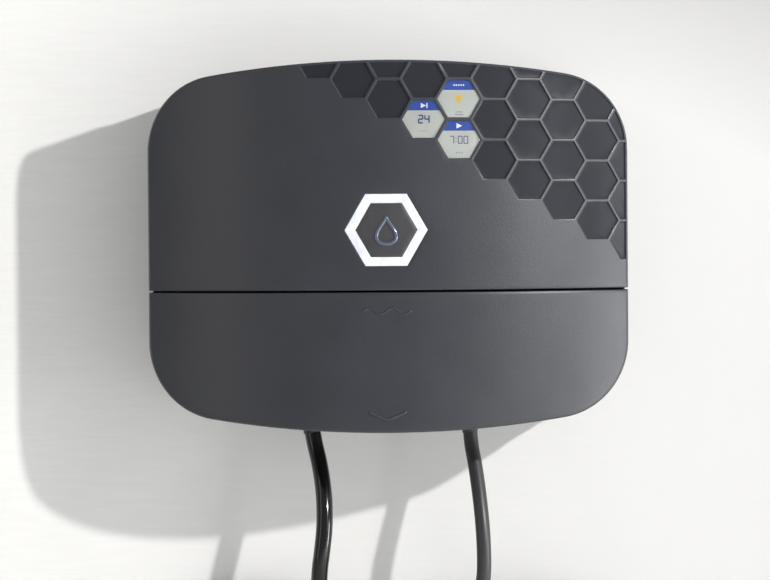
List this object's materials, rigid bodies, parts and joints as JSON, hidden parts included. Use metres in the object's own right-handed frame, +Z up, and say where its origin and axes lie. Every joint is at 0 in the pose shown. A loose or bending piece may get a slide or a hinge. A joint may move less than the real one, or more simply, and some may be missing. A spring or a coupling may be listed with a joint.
{
  "type": "irrigation controller",
  "caption": "Wall-mounted irrigation controller with a curved front, honeycomb relief, small hexagonal displays, lit ring button, pull-off wiring cover, mains lead and valve cable.",
  "frame": {"origin": "middle of the flat back face, on the wall", "axes": "+X to the right as seen from the front, +Y into the wall, +Z up"},
  "size_m": [0.25, 0.1, 0.468],
  "materials": {
    "case_grey": "fine moulded texture, slate grey",
    "housing_grey": "fine moulded texture, darker grey",
    "gasket_foam": "soft closed-cell foam",
    "light_diffuser": "milky diffuser lit from behind",
    "button_gloss": "smooth dark grey",
    "window_clear": "clear window with a hard coat",
    "display_face": "pale lit screen",
    "black_plastic": "black moulded plastic",
    "plunger_plastic": "natural nylon",
    "board_green": "solder resist over glass-fibre board",
    "led_white": "white package with a yellow phosphor",
    "ribbon_grey": "ribbed grey insulation",
    "lamination_steel": "varnished steel laminations",
    "winding_tape": "yellow insulating tape over the winding",
    "zinc_steel": "zinc-plated steel",
    "fuse_glass": "glass tube with metal caps",
    "capacitor_sleeve": "dark blue shrink sleeve",
    "brass": "plain brass",
    "terminal_green": "green moulded plastic",
    "lever_orange": "orange moulded plastic",
    "core_insulation": "coloured insulation, one colour to each core",
    "mains_insulation": "black, white and green insulation",
    "lead_grey": "matt dark grey sheath",
    "cable_black": "glossy black sheath",
    "tie_fabric": "woven hook-and-loop strap",
    "plug_black": "moulded black plug"
  },
  "bodies": {
    "case": {"upper_front_cover": "case_grey", "back_housing": "housing_grey", "housing_gasket": "gasket_foam", "light_ring": "light_diffuser", "weather_lens": "window_clear", "clock_lens": "window_clear", "calendar_lens": "window_clear", "display_modules": "display_face", "display_carrier": "black_plastic", "tact_switch": "black_plastic", "ribbon_sockets": "black_plastic", "logic_chips": "black_plastic", "fuse_holder": "black_plastic", "triacs": "black_plastic", "cell_holder": "black_plastic", "mains_guard": "black_plastic", "main_board": "board_green", "button_board": "board_green", "ring_leds": "led_white", "ribbon_cables": "ribbon_grey", "transformer_core": "lamination_steel", "transformer_winding": "winding_tape", "transformer_bracket": "zinc_steel", "cover_screws": "zinc_steel", "inner_screws": "zinc_steel", "radio_module": "zinc_steel", "coin_cell": "zinc_steel", "clamp_springs": "zinc_steel", "fuse_link": "fuse_glass", "filter_capacitors": "capacitor_sleeve", "radio_antenna": "brass", "plug_blades": "brass", "terminal_block": "terminal_green", "valve_conductors": "core_insulation", "valve_end_cores": "core_insulation", "mains_cores": "mains_insulation", "mains_lead": "lead_grey", "mains_coil": "lead_grey", "mains_tail": "lead_grey", "mains_strain_relief": "lead_grey", "valve_cable": "cable_black", "valve_coil": "cable_black", "valve_tail": "cable_black", "valve_strain_relief": "cable_black", "mains_tie": "tie_fabric", "valve_tie": "tie_fabric", "plug_body": "plug_black"},
    "wiring_cover": {"wiring_cover": "case_grey"},
    "status_button": {"status_button": "button_gloss", "switch_plunger": "plunger_plastic"},
    "terminal_lever_1": {"terminal_lever_1": "lever_orange"},
    "terminal_lever_2": {"terminal_lever_2": "lever_orange"},
    "terminal_lever_3": {"terminal_lever_3": "lever_orange"},
    "terminal_lever_4": {"terminal_lever_4": "lever_orange"},
    "terminal_lever_5": {"terminal_lever_5": "lever_orange"},
    "terminal_lever_6": {"terminal_lever_6": "lever_orange"},
    "terminal_lever_7": {"terminal_lever_7": "lever_orange"},
    "terminal_lever_8": {"terminal_lever_8": "lever_orange"}
  },
  "joints": [
    {"name": "cover_pull", "type": "slide", "parent": "case", "child": "wiring_cover", "axis": [0, -1, 0], "range_m": [0, 0.12]},
    {"name": "button_press", "type": "slide", "parent": "case", "child": "status_button", "axis": [0, 1, 0], "range_m": [0, 0.0008], "stiffness_N_per_m": 700},
    {"name": "lever_1_press", "type": "slide", "parent": "case", "child": "terminal_lever_1", "axis": [0, 1, 0], "range_m": [0, 0.0022], "stiffness_N_per_m": 1500},
    {"name": "lever_2_press", "type": "slide", "parent": "case", "child": "terminal_lever_2", "axis": [0, 1, 0], "range_m": [0, 0.0022], "stiffness_N_per_m": 1500},
    {"name": "lever_3_press", "type": "slide", "parent": "case", "child": "terminal_lever_3", "axis": [0, 1, 0], "range_m": [0, 0.0022], "stiffness_N_per_m": 1500},
    {"name": "lever_4_press", "type": "slide", "parent": "case", "child": "terminal_lever_4", "axis": [0, 1, 0], "range_m": [0, 0.0022], "stiffness_N_per_m": 1500},
    {"name": "lever_5_press", "type": "slide", "parent": "case", "child": "terminal_lever_5", "axis": [0, 1, 0], "range_m": [0, 0.0022], "stiffness_N_per_m": 1500},
    {"name": "lever_6_press", "type": "slide", "parent": "case", "child": "terminal_lever_6", "axis": [0, 1, 0], "range_m": [0, 0.0022], "stiffness_N_per_m": 1500},
    {"name": "lever_7_press", "type": "slide", "parent": "case", "child": "terminal_lever_7", "axis": [0, 1, 0], "range_m": [0, 0.0022], "stiffness_N_per_m": 1500},
    {"name": "lever_8_press", "type": "slide", "parent": "case", "child": "terminal_lever_8", "axis": [0, 1, 0], "range_m": [0, 0.0022], "stiffness_N_per_m": 1500}
  ]
}
